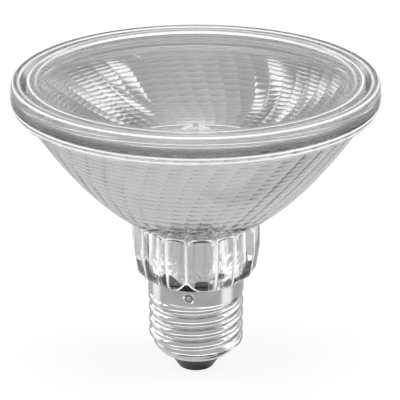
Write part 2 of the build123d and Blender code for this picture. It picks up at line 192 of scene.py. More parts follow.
def rolled_aluminium():
    """Bright rolled aluminium: near-mirror, with lines round the axis 0.4 mm apart and faint handling haze.

    The lines keep their run for about 17 mm, and the haze is in patches of 5 mm.
    """
    material, tree, point = new_material("rolled_aluminium")
    spread = (1 / (16.7 * mm), 1 / (16.7 * mm), 1 / (0.4 * mm))
    rolled = add_node(tree, "ShaderNodeMapping", {"Vector": point, "Scale": spread}).outputs["Vector"]
    lines = add_node(tree, "ShaderNodeTexNoise", {"Vector": rolled, "Scale": 1.0, "Detail": 3.0})
    haze = add_node(tree, "ShaderNodeTexNoise", {"Vector": point, "Scale": 1 / (5 * mm), "Detail": 5.0})
    rough = add_node(
        tree,
        "ShaderNodeMapRange",
        {"Value": haze.outputs["Fac"], "From Min": 0.3, "From Max": 0.7, "To Min": 0.1, "To Max": 0.2},
    )
    shade = add_node(
        tree, "ShaderNodeValToRGB", {"Fac": haze.outputs["Fac"]}, stops=[(0.3, "#d2d2d2"), (0.7, "#dedede")]
    )
    relief = add_node(tree, "ShaderNodeBump", {"Height": lines.outputs["Fac"], "Distance": 0.004 * mm})
    surface = add_node(
        tree,
        "ShaderNodeBsdfPrincipled",
        {
            "Base Color": shade.outputs["Color"],
            "Metallic": 1.0,
            "Roughness": rough.outputs["Result"],
            "Normal": relief.outputs["Normal"],
        },
    )
    add_node(tree, "ShaderNodeOutputMaterial", {"Surface": surface.outputs["BSDF"]})
    return material


lip_height, collar_top = heights("cap_shell")
collar_bottom = collar_top - collar_length
cone_top = lip_height + cone_height
thread_start = cone_top - thread_lead
thread_depth = thread_crest_radius - thread_root_radius
arc_sum = (thread_pitch**2 / 4 + thread_depth**2) / (2 * thread_depth)
root_arc = arc_sum - crest_arc
thread_turns = (collar_bottom - thread_start) / thread_pitch


def thread_rise(angles, height):
    """How far the rolled sheet stands over the thread's root: two tangent arcs, faded in at both ends."""
    turn = (height - thread_start) / thread_pitch - (angles - thread_start_angle) / 360
    along = np.abs(turn - np.round(turn)) * thread_pitch
    crest = crest_arc - np.sqrt(np.maximum(crest_arc**2 - along**2, 0))
    back = thread_pitch / 2 - along
    root = root_arc - np.sqrt(np.maximum(root_arc**2 - back**2, 0))
    meet = thread_pitch / 2 * crest_arc / arc_sum
    rise = np.where(along < meet, thread_depth - crest, root)
    done = (np.round(turn) + (angles - thread_start_angle) / 360) * 360 / thread_fade
    left = (thread_turns * 360 - (np.round(turn) * 360 + angles - thread_start_angle)) / thread_fade
    return rise * smooth_step(done) * smooth_step(left)


def from_dent(angles, dent):
    """Angles counted from the middle of one dent, -180 to 180."""
    return (angles - dent_angle - dent * 360 / dent_count + 180) % 360 - 180


def dent_sink(angles, height):
    """How far the collar is punched in at this height."""
    sink = 0 * angles
    for dent in range(dent_count):
        aside = np.radians(from_dent(angles, dent)) * collar_radius
        distance = np.hypot(aside, height - (collar_top - dent_below_top))
        ball = np.sqrt(np.maximum(dent_ball_radius**2 - distance**2, 0)) - (dent_ball_radius - dent_depth)
        sink = sink + np.where(ball > 0, ball, 0) * smooth_step((ball + 0.02) / (0.4 * dent_rim))
    return sink


shell_angles = [thread_start_angle + 360 * k / shell_columns for k in range(shell_columns)]
for dent in range(dent_count):
    centre = dent_angle + dent * 360 / dent_count - thread_start_angle
    for k in range(-2 * dent_reach, 2 * dent_reach + 1):
        shell_angles.append((centre + 0.5 * k) % 360 + thread_start_angle)
shell_angles = np.array(sorted(set(np.round(shell_angles, 3))))

cone_bulge = (0.62 * thread_root_radius + 0.38 * lip_radius, lip_height + 0.4 * cone_height)
cone_side = circle_through((lip_radius, lip_height), cone_bulge, (thread_root_radius, cone_top), 14)
shell_rings = [ring(shell_angles, lip_radius - edge_roll, lip_height + edge_roll)]
shell_rings += [ring(shell_angles, r, z) for r, z in cone_side[:-1]]
for z in np.arange(cone_top, collar_bottom - 0.5 * shell_step, shell_step):
    to_collar = smooth_step((z - collar_bottom + collar_bend) / collar_bend)
    base = thread_root_radius + thread_rise(shell_angles, z)
    shell_rings.append(ring(shell_angles, base + to_collar * (collar_radius - base), z))
for z in np.linspace(collar_bottom, collar_top - collar_edge, 34):
    shell_rings.append(ring(shell_angles, collar_radius - dent_sink(shell_angles, z), z))
shell_rings.append(ring(shell_angles, collar_radius - collar_edge, collar_top))
for z in np.linspace(collar_top, collar_bottom, 24):
    shell_rings.append(ring(shell_angles, collar_radius - sheet - dent_sink(shell_angles, z), z))
for r, z in ((thread_root_radius - sheet, collar_bottom - sheet), (thread_root_radius - sheet, cone_top)):
    shell_rings.append(ring(shell_angles, r, z))
shell_rings += [ring(shell_angles, r - sheet, z) for r, z in cone_side[-3:4:-3]]
add_piece("screw_shell", shell_rings, [rolled_aluminium()], ["cap_shell"], loop=True)

# Insulator in the foot of the cap. Black glass, poured round the eyelet and pressed, so its skin has a soft
# gloss with a slight orange peel and flow rings.
foot_radius = 5.1
foot_height = 0.5
eyelet_radius = 1.5
contact_radius = 4.2
contact_recess = 0.2
recess_round = 0.02
top_dish = 1.0              # the poured glass sinks this far towards the eyelet
foot_columns = 128


def black_glass():
    """Poured black glass: nearly black, with a soft gloss and shallow flow rings 1.2 mm apart."""
    material, tree, point = new_material("black_glass")
    spread = (1 / (5.6 * mm), 1 / (5.6 * mm), 1 / (1.2 * mm))
    flow = add_node(tree, "ShaderNodeMapping", {"Vector": point, "Scale": spread}).outputs["Vector"]
    peel = add_node(tree, "ShaderNodeTexNoise", {"Vector": flow, "Scale": 1.0, "Detail": 4.0})
    shade = add_node(
        tree, "ShaderNodeValToRGB", {"Fac": peel.outputs["Fac"]}, stops=[(0.35, "#050505"), (0.7, "#101010")]
    )
    relief = add_node(tree, "ShaderNodeBump", {"Height": peel.outputs["Fac"], "Distance": 0.05 * mm})
    surface = add_node(
        tree,
        "ShaderNodeBsdfPrincipled",
        {
            "Base Color": shade.outputs["Color"],
            "Roughness": 0.3,
            "IOR": 1.5,
            "Specular IOR Level": 0.2,
            "Normal": relief.outputs["Normal"],
        },
    )
    add_node(tree, "ShaderNodeOutputMaterial", {"Surface": surface.outputs["BSDF"]})
    return material


foot_side = circle_through(
    (foot_radius, foot_height),
    (0.42 * (lip_radius - edge_roll) + 0.58 * foot_radius, 0.5 * (foot_height + lip_height)),
    (lip_radius - edge_roll, lip_height + edge_roll),
    16,
)
inside_cone = [(r - 1.02 * sheet, z) for r, z in cone_side[4:]]
insulator_section = [
    (eyelet_radius, foot_height + contact_recess),
    (contact_radius, foot_height + contact_recess),
    (contact_radius, foot_height + recess_round),
    *foot_side,
    *inside_cone,
    (inside_cone[-1][0] - sheet, cone_top),
    (eyelet_radius, cone_top - top_dish),
]
foot_angles = np.arange(foot_columns) * 360 / foot_columns
add_piece(
    "insulator_glass",
    [ring(foot_angles, r, z) for r, z in insulator_section],
    [black_glass()],
    ["insulator"],
    loop=True,
)

# Contact eyelet, the solder in it, and the weld of the side wire. Brass and tin solder: the brass is bright
# stamped sheet, the solder a satin drop with a frosted, slightly lumpy skin.


def stamped_brass():
    """Stamped brass, lightly tarnished: warm metal with soft cloudy haze of about 2 mm."""
    material, tree, point = new_material("stamped_brass")
    cloud = add_node(tree, "ShaderNodeTexNoise", {"Vector": point, "Scale": 1 / (2 * mm), "Detail": 4.0})
    shade = add_node(
        tree, "ShaderNodeValToRGB", {"Fac": cloud.outputs["Fac"]}, stops=[(0.3, "#bda878"), (0.7, "#d6c596")]
    )
    relief = add_node(tree, "ShaderNodeBump", {"Height": cloud.outputs["Fac"], "Distance": 0.02 * mm})
    surface = add_node(
        tree,
        "ShaderNodeBsdfPrincipled",
        {
            "Base Color": shade.outputs["Color"],
            "Metallic": 1.0,
            "Roughness": 0.28,
            "Normal": relief.outputs["Normal"],
        },
    )
    add_node(tree, "ShaderNodeOutputMaterial", {"Surface": surface.outputs["BSDF"]})
    return material


def tin_solder():
    """Tin solder: satin grey metal with frost of 0.3 mm and gentle lumps of 1.5 mm."""
    material, tree, point = new_material("tin_solder")
    lumps = add_node(tree, "ShaderNodeTexNoise", {"Vector": point, "Scale": 1 / (1.5 * mm), "Detail": 2.0})
    frost = add_node(tree, "ShaderNodeTexNoise", {"Vector": point, "Scale": 1 / (0.3 * mm), "Detail": 3.0})
    lumpy = add_node(tree, "ShaderNodeBump", {"Height": lumps.outputs["Fac"], "Distance": 0.15 * mm})
    relief = add_node(
        tree,
        "ShaderNodeBump",
        {"Height": frost.outputs["Fac"], "Distance": 0.02 * mm, "Normal": lumpy.outputs["Normal"]},
    )
    shade = add_node(
        tree, "ShaderNodeValToRGB", {"Fac": frost.outputs["Fac"]}, stops=[(0.3, "#a9a9a7"), (0.7, "#c4c4c2")]
    )
    surface = add_node(
        tree,
        "ShaderNodeBsdfPrincipled",
        {
            "Base Color": shade.outputs["Color"],
            "Metallic": 1.0,
            "Roughness": 0.36,
            "Normal": relief.outputs["Normal"],
        },
    )
    add_node(tree, "ShaderNodeOutputMaterial", {"Surface": surface.outputs["BSDF"]})
    return material


def finish_nodes(names, material):
    """Give CAD pieces a material in place of their plain one."""
    for name in names:
        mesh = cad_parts[name].data
        mesh.materials.clear()
        mesh.materials.append(material)


finish_nodes(["contact"], stamped_brass())
finish_nodes(["contact_solder", "side_weld"], tin_solder())

# Supply wires, crimps and pins. Drawn nickel wire with fine lines along it, joined to the burner's
# molybdenum pins by crimped sleeves; the centre wire runs in a braided glass-fibre sleeve.


def drawn_wire(name, low, high, roughness):
    """Drawn wire: metal between two shades, with die lines 0.15 mm apart that run for about 11 mm."""
    material, tree, point = new_material(name)
    spread = (1 / (0.15 * mm), 1 / (0.15 * mm), 1 / (11 * mm))
    drawn = add_node(tree, "ShaderNodeMapping", {"Vector": point, "Scale": spread}).outputs["Vector"]
    lines = add_node(tree, "ShaderNodeTexNoise", {"Vector": drawn, "Scale": 1.0, "Detail": 3.0})
    shade = add_node(
        tree, "ShaderNodeValToRGB", {"Fac": lines.outputs["Fac"]}, stops=[(0.3, low), (0.7, high)]
    )
    relief = add_node(tree, "ShaderNodeBump", {"Height": lines.outputs["Fac"], "Distance": 0.01 * mm})
    surface = add_node(
        tree,
        "ShaderNodeBsdfPrincipled",
        {
            "Base Color": shade.outputs["Color"],
            "Metallic": 1.0,
            "Roughness": roughness,
            "Normal": relief.outputs["Normal"],
        },
    )
    add_node(tree, "ShaderNodeOutputMaterial", {"Surface": surface.outputs["BSDF"]})
    return material


def glass_fibre_braid():
    """Braided glass-fibre sleeve: off-white strands crossing about 0.5 mm apart."""
    material, tree, point = new_material("glass_fibre_braid")
    strands = add_node(
        tree,
        "ShaderNodeTexWave",
        {"Vector": point, "Scale": 1 / (0.5 * mm) / 6.3, "Distortion": 1.5, "Detail": 2.0},
        wave_type="BANDS",
        bands_direction="DIAGONAL",
    )
    shade = add_node(
        tree,
        "ShaderNodeValToRGB",
        {"Fac": strands.outputs["Fac"]},
        stops=[(0.2, "#c9c7bd"), (0.8, "#efeee6")],
    )
    relief = add_node(tree, "ShaderNodeBump", {"Height": strands.outputs["Fac"], "Distance": 0.08 * mm})
    surface = add_node(
        tree,
        "ShaderNodeBsdfPrincipled",
        {
            "Base Color": shade.outputs["Color"],
            "Roughness": 0.8,
            "Normal": relief.outputs["Normal"],
        },
    )
    add_node(tree, "ShaderNodeOutputMaterial", {"Surface": surface.outputs["BSDF"]})
    return material


nickel = drawn_wire("drawn_nickel", "#b5b0a5", "#d2cec4", 0.22)
molybdenum = drawn_wire("drawn_molybdenum", "#85858a", "#a5a5aa", 0.35)
finish_nodes(["centre_wire", "side_wire", "crimp_left", "crimp_right"], nickel)
finish_nodes(["pin_left", "pin_right", "foil_left", "foil_right"], molybdenum)
finish_nodes(["wire_sleeve"], glass_fibre_braid())

# Reflector body. One pressing of clear borosilicate glass: stub in the collar, fluted neck with its rounded
# shoulder, bowl and flange. Its outside is fire-polished, and its bore keeps the wavy skin of the plunger.
stub_radius = 12.7
stub_bevel = 0.5
bore_radius = 9.6
bore_top_radius = 8.6
shoulder_radius = 16.6
shoulder_height = 3.35
neck_radius = 17.4
neck_taper_height = 9.0
bowl_apex_above_neck = 11.25
bowl_curve = 55.3
cavity_apex_above_bowl = 2.4
cavity_curve = 51.0
shoulder_gap = 0.25
flange_thickness = 4.2
flange_radius = 48.2
flange_corner = 2.2
flange_draft = 0.15
rim_round = 0.3
mouth_radius = 43.9
floor_radius = 15.0
floor_thickness = 4.0
floor_above_apex = 6.8
hole_radius = 6.8
hole_round = 0.3            # rounding of the hole at its top, and of the bore's lower edge
hole_foot_round = 0.2
bore_corner = 0.6           # and of the bore's upper end
flat_pair_count = 8
pair_angle = 360 / flat_pair_count
wide_flat_angle = 27
ridge_height = 0.12
flat_runout_slope = 2.5
rib_height = 0.22           # rounded bead that the mould leaves round each flat
rib_width = 0.32            # the bead fades this far from the ridge
arch_rise = 1.2             # the bead over a wide flat is an arch this high
arch_width = 0.26           # and fades this far from its middle
arch_top = 0.15             # which is this far above the neck's end
rib_start = 0.5             # the beads rise from here above the shoulder's edge
rib_run_in = 1.5            # over this height
edge_round = 0.15           # rounding of the shoulder's lower edge
edge_highlight_height = 0.7      # the shoulder's edge carries a painted highlight this far up, as the beads do
notch_width = 6.6
notch_rise = 4.0
mirror_cover = 0.12         # the glass wall lies this deep in the mirror layer, so that no faces coincide
facet_columns = 48
columns_per_facet = 8
glass_columns = facet_columns * columns_per_facet


def pressed_glass(name, wave_size, wave_depth):
    """Clear pressed borosilicate: colourless with soft waves, and white, rough and nearly opaque on painted
    highlights.
    """
    material, tree, point = new_material(name)
    waves = add_node(
        tree, "ShaderNodeTexNoise", {"Vector": point, "Scale": 1 / (wave_size * mm), "Detail": 2.0}
    )
    # painted highlight: this attribute turns the glass white, rough and nearly opaque along the beads and
    # edges
    painted_highlight = add_node(tree, "ShaderNodeAttribute", attribute_name="painted_highlight").outputs["Fac"]
    frost = add_node(tree, "ShaderNodeMapRange", {"Value": painted_highlight, "To Max": 0.5}).outputs["Result"]
    clear = add_node(
        tree, "ShaderNodeMapRange", {"Value": painted_highlight, "To Min": 1.0, "To Max": 0.1}
    ).outputs["Result"]
    shade = add_node(tree, "ShaderNodeValToRGB", {"Fac": painted_highlight}, stops=[(0.0, "#f6f6f6"), (1.0, "#ffffff")])
    relief = add_node(
        tree, "ShaderNodeBump", {"Height": waves.outputs["Fac"], "Distance": wave_depth * mm}
    )
    surface = add_node(
        tree,
        "ShaderNodeBsdfPrincipled",
        {
            "Base Color": shade.outputs["Color"],
            "Roughness": frost,
            "IOR": 1.48,
            "Transmission Weight": clear,
            "Normal": relief.outputs["Normal"],
        },
    )
    add_node(tree, "ShaderNodeOutputMaterial", {"Surface": surface.outputs["BSDF"]})
    return material


stub_bottom, flange_top = heights("reflector")
facet_bottom, facet_top = heights("mirror")
neck_bottom = collar_top + shoulder_gap
bowl_apex = neck_bottom + bowl_apex_above_neck
cavity_apex = bowl_apex + cavity_apex_above_bowl
floor_top = bowl_apex + floor_above_apex
floor_bottom = floor_top - floor_thickness
flange_bottom = flange_top - flange_thickness
shoulder_top = neck_bottom + shoulder_height
taper_top = neck_bottom + neck_taper_height
neck_top = bowl_apex + neck_radius**2 / bowl_curve

shoulder_bulge = (0.3 * collar_radius + 0.7 * shoulder_radius, neck_bottom + 0.35 * shoulder_height)
shoulder = circle_through((collar_radius, neck_bottom), shoulder_bulge, (shoulder_radius, shoulder_top), 20)


def neck_side(height):
    """Radius of the neck's round outline at this height, which the flats follow too."""
    radii, levels = zip(*shoulder, (neck_radius, taper_top))
    return np.interp(height, levels, radii)


def glass_outside(angles, height):
    """Radius of the neck and bowl with the flats and their beads, and each point's share of bead, which is
    also its share of painted highlight.
    """
    height = height + 0 * angles
    bowl = np.sqrt(bowl_curve * np.maximum(height - bowl_apex, 0))
    radius = np.where(height > neck_top, np.maximum(bowl, neck_radius), neck_side(height))
    rib = 0 * angles
    within = (angles - dent_angle) % pair_angle
    for start, span in ((0, wide_flat_angle), (wide_flat_angle, pair_angle - wide_flat_angle)):
        on_flat = (within >= start) & (within <= start + span)
        half = math.radians(span / 2)
        distance = math.cos(half) * (neck_side(height) + ridge_height)
        distance = distance + flat_runout_slope * np.maximum(height - neck_top, 0)
        flat = distance / np.cos(np.radians(within - start - span / 2))
        radius = np.where(on_flat, np.minimum(radius, flat), radius)
        aside = np.radians(np.minimum(within - start, start + span - within)) * neck_radius
        across = 2 * (within - start) / span - 1
        arch = neck_top + arch_top - arch_rise * (span * across / wide_flat_angle) ** 2
        above = (height - arch) / arch_width
        on_rib = np.exp(-((aside / rib_width) ** 2)) * (above < 1) + np.exp(-(above**2))
        rib = np.where(on_flat, np.minimum(on_rib, 1), rib)
    rib = rib * smooth_step((height - neck_bottom - rib_start) / rib_run_in)
    return radius + rib_height * rib, rib


def shoulder_edge(angles):
    """Height of the shoulder's lower edge, which rises to a cusp over each dent."""
    rise = 0 * angles
    for dent in range(dent_count):
        aside = np.abs(np.radians(from_dent(angles, dent)) * stub_radius)
        share = np.clip(1 - aside / (notch_width / 2), 0, 1)
        rise = rise + notch_rise * (0.35 * share + 0.65 * share**2)
    return neck_bottom + rise


# columns follow the flats' edges on the outside and the facets on the inside, as many on each
pair_columns = glass_columns // flat_pair_count
wide_columns = round(pair_columns * wide_flat_angle / pair_angle)


def closer_ends(low, high, steps):
    """Places from low up to high, three times as close at the ends as in the middle."""
    share = np.arange(steps) / steps
    return low + (high - low) * (share - 0.5 * np.sin(math.tau * share) / math.tau)


pair_steps = np.concatenate([
    closer_ends(0, wide_flat_angle, wide_columns),
    closer_ends(wide_flat_angle, pair_angle, pair_columns - wide_columns),
])
outer_angles = np.concatenate(
    [dent_angle + pair * pair_angle + pair_steps for pair in range(flat_pair_count)]
)
even_angles = dent_angle + np.arange(glass_columns) * 360 / glass_columns

edge_height = shoulder_edge(outer_angles)
glass_rings = [
    ring(outer_angles, stub_radius - stub_bevel, stub_bottom),
    ring(outer_angles, stub_radius, stub_bottom + stub_bevel),
    ring(outer_angles, stub_radius, edge_height - edge_round),
    ring(outer_angles, stub_radius + edge_round, edge_height),
]
# each ring's share of painted highlight, full at the shoulder's edge and on the beads
glass_highlights = [0 * outer_angles, 0 * outer_angles, 0 * outer_angles, 1 + 0 * outer_angles]
for share in np.linspace(0, 1, 24) ** 1.4:     # closer together near the edge
    level = edge_height + share * (shoulder_top - edge_height)
    radius, painted_highlight = glass_outside(outer_angles, level)
    edge_highlight = smooth_step(1.5 - (level - edge_height) / edge_highlight_height)
    glass_rings.append(ring(outer_angles, radius, level))
    glass_highlights.append(np.maximum(painted_highlight, edge_highlight))
arch_foot, arch_head, flats_end = neck_top - 0.6, neck_top + 1.4, neck_top + 7
for level in np.concatenate([
    np.linspace(shoulder_top, arch_foot, 10)[1:-1],
    np.linspace(arch_foot, arch_head, 20),
    np.linspace(arch_head, flats_end, 12)[1:],
    np.linspace(flats_end, flange_bottom, 34)[1:],
]):
    radius, painted_highlight = glass_outside(outer_angles, level)
    glass_rings.append(ring(outer_angles, radius, level))
    glass_highlights.append(painted_highlight)
corner = circle_through(
    (flange_radius - flange_corner, flange_bottom),
    (flange_radius - 0.4 * flange_corner, flange_bottom + 0.3 * flange_corner),
    (flange_radius - flange_draft, flange_bottom + flange_corner),
    10,
)
glass_rings += [ring(outer_angles, r, z) for r, z in corner]
flange_highlights = (flange_bottom + 1.5, flange_bottom + 2.7)      # two lines round its side, painted highlights
flange_highlight_width = 0.3
flange_side_start = flange_bottom + flange_corner + 0.1
flange_side_levels = np.linspace(flange_side_start, flange_top - rim_round, 14)
glass_rings += [ring(outer_angles, flange_radius, z) for z in flange_side_levels]
for r, z in corner + [(flange_radius, z) for z in flange_side_levels]:
    away = min(abs(z - line) for line in flange_highlights) / flange_highlight_width
    glass_highlights.append(0.95 * np.exp(-(away**2)) + 0 * outer_angles)
glass_rings.append(ring(outer_angles, flange_radius - rim_round, flange_top))
glass_rings.append(ring(even_angles, mouth_radius + rim_round, flange_top))
mouth_start = len(glass_rings)
glass_rings.append(ring(even_angles, mouth_radius, flange_top - rim_round))
mouth_bottom = cavity_apex + mouth_radius**2 / cavity_curve
mouth_levels = np.linspace(mouth_bottom, facet_top, 6)[:-1]
for level in np.concatenate([mouth_levels, np.linspace(facet_top, facet_bottom, 40)]):
    cavity_radius = math.sqrt(cavity_curve * (level - cavity_apex))
    glass_rings.append(ring(even_angles, cavity_radius - mirror_cover, level))
floor_edge = math.sqrt(cavity_curve * (facet_bottom - cavity_apex)) * math.cos(math.pi / facet_columns)
floor_curve = circle_through(
    (floor_edge, facet_bottom),
    (0.42 * floor_radius + 0.58 * floor_edge, 0.6 * floor_top + 0.4 * facet_bottom),
    (floor_radius, floor_top),
    14,
)
floor_start = len(glass_rings)
glass_rings += [ring(even_angles, r, z) for r, z in floor_curve[1:]]
bore_start = len(glass_rings) + 1
for r, z in (
    (hole_radius + hole_round, floor_top),
    (hole_radius, floor_top - hole_round),
    (hole_radius, floor_bottom + hole_foot_round),
    (hole_radius + hole_foot_round, floor_bottom),
    (bore_top_radius - bore_corner, floor_bottom),
    (bore_top_radius, floor_bottom - bore_corner),
):
    glass_rings.append(ring(even_angles, r, z))
for level in np.linspace(floor_bottom - bore_corner, stub_bottom + hole_round, 16)[1:]:
    share = (floor_bottom - level) / (floor_bottom - stub_bottom)
    glass_rings.append(ring(even_angles, bore_top_radius + share * (bore_radius - bore_top_radius), level))
glass_rings.append(ring(even_angles, bore_radius + hole_round, stub_bottom))
glass_highlights += [0 * even_angles] * (len(glass_rings) - len(glass_highlights))
film_end = 31.6             # the film in the bore ends at about this height
film_wander = 24            # its edge wanders over this height
film_fade = 0.6             # and fades out over this one
wavy_below = 38.0           # from here down the plunger's skin is wavy


def bore_film():
    """Aluminium that drifted into the bore: satin on the plunger's skin, with a ragged lower edge."""
    material, tree, point = new_material("bore_film")
    waves = add_node(tree, "ShaderNodeTexNoise", {"Vector": point, "Scale": 1 / (2 * mm), "Detail": 4.0})
    drift = add_node(tree, "ShaderNodeTexNoise", {"Vector": point, "Scale": 1 / (5.5 * mm), "Detail": 5.0})
    height = add_node(tree, "ShaderNodeSeparateXYZ", {"Vector": point}).outputs["Z"]
    ragged = add_node(
        tree,
        "ShaderNodeMath",
        {0: drift.outputs["Fac"], 1: film_wander * mm, 2: height},
        operation="MULTIPLY_ADD",
    ).outputs["Value"]
    edge = film_end + film_wander / 2
    film = add_node(
        tree,
        "ShaderNodeMapRange",
        {"Value": ragged, "From Min": edge * mm, "From Max": (edge + film_fade) * mm},
    ).outputs["Result"]
    wavy = add_node(
        tree,
        "ShaderNodeMapRange",
        {"Value": height, "From Min": wavy_below * mm, "From Max": film_end * mm, "To Min": 0.2},
    ).outputs["Result"]
    uneven = add_node(
        tree, "ShaderNodeMath", {0: waves.outputs["Fac"], 1: wavy}, operation="MULTIPLY"
    ).outputs["Value"]
    # below the film's edge the clear glass is tinted dark grey, a painted shade
    shade = add_node(tree, "ShaderNodeValToRGB", {"Fac": film}, stops=[(0.0, "#5c5c5c"), (1.0, "#f8f8f8")])
    relief = add_node(tree, "ShaderNodeBump", {"Height": uneven, "Distance": 0.7 * mm})
    surface = add_node(
        tree,
        "ShaderNodeBsdfPrincipled",
        {
            "Base Color": shade.outputs["Color"],
            "Metallic": film,
            "Roughness": 0.2,
            "IOR": 1.48,
            "Transmission Weight": 1.0,
            "Normal": relief.outputs["Normal"],
        },
    )
    add_node(tree, "ShaderNodeOutputMaterial", {"Surface": surface.outputs["BSDF"]})
    return material


def floor_film():
    """Aluminium on the bowl's floor, over deep waves of 1.5 mm: even inside, and on its glass side blotched
    black by the waves, a painted shade for dark reflections seen through the neck.

    Sockets 0, 6 and 7 of a colour mix are its share and its two colours, and output 2 is the result.
    """
    material, tree, point = new_material("floor_film")
    flat = add_node(tree, "ShaderNodeMapping", {"Vector": point, "Scale": (1, 1, 2.5)}).outputs["Vector"]
    waves = add_node(tree, "ShaderNodeTexNoise", {"Vector": flat, "Scale": 1 / (1.5 * mm), "Detail": 4.0})
    # painted shade: black blotches over the waves on the film's glass side
    painted_dark_blotches = add_node(
        tree,
        "ShaderNodeValToRGB",
        {"Fac": waves.outputs["Fac"]},
        stops=[(0.47, "#0a0a0a"), (0.59, "#ffffff")],
    ).outputs["Color"]
    glass_side = add_node(tree, "ShaderNodeNewGeometry").outputs["Backfacing"]
    film = add_node(
        tree, "ShaderNodeMix", {0: glass_side, 6: colour("#dcdcdc"), 7: painted_dark_blotches}, data_type="RGBA"
    ).outputs[2]
    relief = add_node(tree, "ShaderNodeBump", {"Height": waves.outputs["Fac"], "Distance": 0.8 * mm})
    surface = add_node(
        tree,
        "ShaderNodeBsdfPrincipled",
        {
            "Base Color": film,
            "Metallic": 1.0,
            "Roughness": 0.08,
            "Normal": relief.outputs["Normal"],
        },
    )
    add_node(tree, "ShaderNodeOutputMaterial", {"Surface": surface.outputs["BSDF"]})
    return material


def evaporated_aluminium():
    """Aluminium evaporated on to glass in vacuum: a true mirror with a faint haze of 6 mm."""
    material, tree, point = new_material("evaporated_aluminium")
    haze = add_node(tree, "ShaderNodeTexNoise", {"Vector": point, "Scale": 1 / (6 * mm), "Detail": 3.0})
    shade = add_node(
        tree, "ShaderNodeValToRGB", {"Fac": haze.outputs["Fac"]}, stops=[(0.3, "#e0e0e0"), (0.7, "#e8e8e8")]
    )
    surface = add_node(
        tree,
        "ShaderNodeBsdfPrincipled",
        {
            "Base Color": shade.outputs["Color"],
            "Metallic": 1.0,
            "Roughness": 0.06,
        },
    )
    add_node(tree, "ShaderNodeOutputMaterial", {"Surface": surface.outputs["BSDF"]})
    return material


mirror_metal = evaporated_aluminium()
add_piece(
    "reflector_glass",
    glass_rings,
    [pressed_glass("fire_polished_glass", 9, 0.015), floor_film(), bore_film(), mirror_metal],
    ["reflector"],
    loop=True,
    shared={
        (floor_start, bore_start): 1,
        (bore_start, len(glass_rings)): 2,
        (mouth_start, mouth_start + 1 + len(mouth_levels)): 3,
    },
    highlight_shares=glass_highlights,
)

# Mirror in the bowl. Aluminium, evaporated on to the pressed facets in vacuum, so it is a mirror both from
# the mouth and through the glass. Each row of facets is turned a little from the one above.
facet_rows = 18
facet_phase = 1.8           # degrees from the front to the first column at the top
row_growth = 1.027          # each row is this much taller than the one above
swirl = 0.63                # degrees of turn for each millimetre down
mirror_front = 0.04         # the layer's glass side stands this far out of the facets
mirror_back = 0.22          # and its other side this far in
pillow = 0.035              # each facet is dished this far
facet_edge = 6              # power of the dish's outline: higher is a flatter middle

# rings and columns across one facet, from -1 to 1 and closer together at its edges
row_places = np.array([-1, -0.86, -0.6, 0, 0.6, 0.86])
column_places = np.array([-1, -0.93, -0.78, -0.4, 0.4, 0.78, 0.93])
rows_down = (row_growth ** np.arange(facet_rows + 1) - 1) / (row_growth - 1)
row_edges = facet_top - rows_down * (facet_top - facet_bottom) / rows_down[-1]
half_facet = 180 / facet_columns
mirror_places = np.tile(column_places, facet_columns)
mirror_middles = np.repeat(np.arange(facet_columns) * 2 * half_facet, len(column_places))


def mirror_ring(level, place, turn, inset):
    """One ring of the mirror at a height, at its place between the row's edges, -1 to 1."""
    angles = mirror_middles + half_facet + mirror_places * half_facet + facet_phase - turn
    corner_radius = math.sqrt(cavity_curve * (level - cavity_apex))
    flat_radius = corner_radius * math.cos(math.radians(half_facet))
    radius = flat_radius / np.cos(np.radians(mirror_places * half_facet))
    dish = pillow * (1 - abs(place) ** facet_edge) * (1 - np.abs(mirror_places) ** facet_edge)
    return ring(angles - 90, radius - inset - dish, level)


mirror_rings = []
for inset in (-mirror_front, mirror_back):
    layer = []
    for row in range(facet_rows):
        high, low = row_edges[row], row_edges[row + 1]
        turn = swirl * (facet_top - (high + low) / 2)
        for place in row_places:
            level = high - (high - low) * (place + 1) / 2
            layer.append(mirror_ring(level, place, turn, inset))
    layer.append(mirror_ring(facet_bottom, 1, turn, inset))
    mirror_rings += layer if inset < 0 else layer[::-1]
add_piece("facet_mirror", mirror_rings, [mirror_metal], ["mirror"], loop=True, crease=40)

# Burner. Fused quartz tube, its foot pinched flat while hot over the foils, its top closed to a small
# exhaust tip. The quartz is water-clear with faint draw waves, and a coil of drawn tungsten hangs in it.


def fused_quartz():
    """Fused quartz: clearer and smoother than pressed glass, with slight draw waves of 2 mm."""
    material, tree, point = new_material("fused_quartz")
    draw = add_node(tree, "ShaderNodeTexNoise", {"Vector": point, "Scale": 1 / (2 * mm), "Detail": 2.0})
    relief = add_node(tree, "ShaderNodeBump", {"Height": draw.outputs["Fac"], "Distance": 0.06 * mm})
    surface = add_node(
        tree,
        "ShaderNodeBsdfPrincipled",
        {
            "Base Color": colour("#fbfbfb"),
            "Roughness": 0.0,
            "IOR": 1.46,
            "Transmission Weight": 1.0,
            "Normal": relief.outputs["Normal"],
        },
    )
    add_node(tree, "ShaderNodeOutputMaterial", {"Surface": surface.outputs["BSDF"]})
    return material


finish_nodes(["burner"], fused_quartz())
tungsten = drawn_wire("drawn_tungsten", "#4a4a4c", "#6e6e70", 0.4)
finish_nodes(["filament", "inner_lead_long", "inner_lead_short"], tungsten)

# Cement round the pinch. White ceramic paste, filled into the hole of the bowl's floor and baked: matt,
# with grains and a few pits.


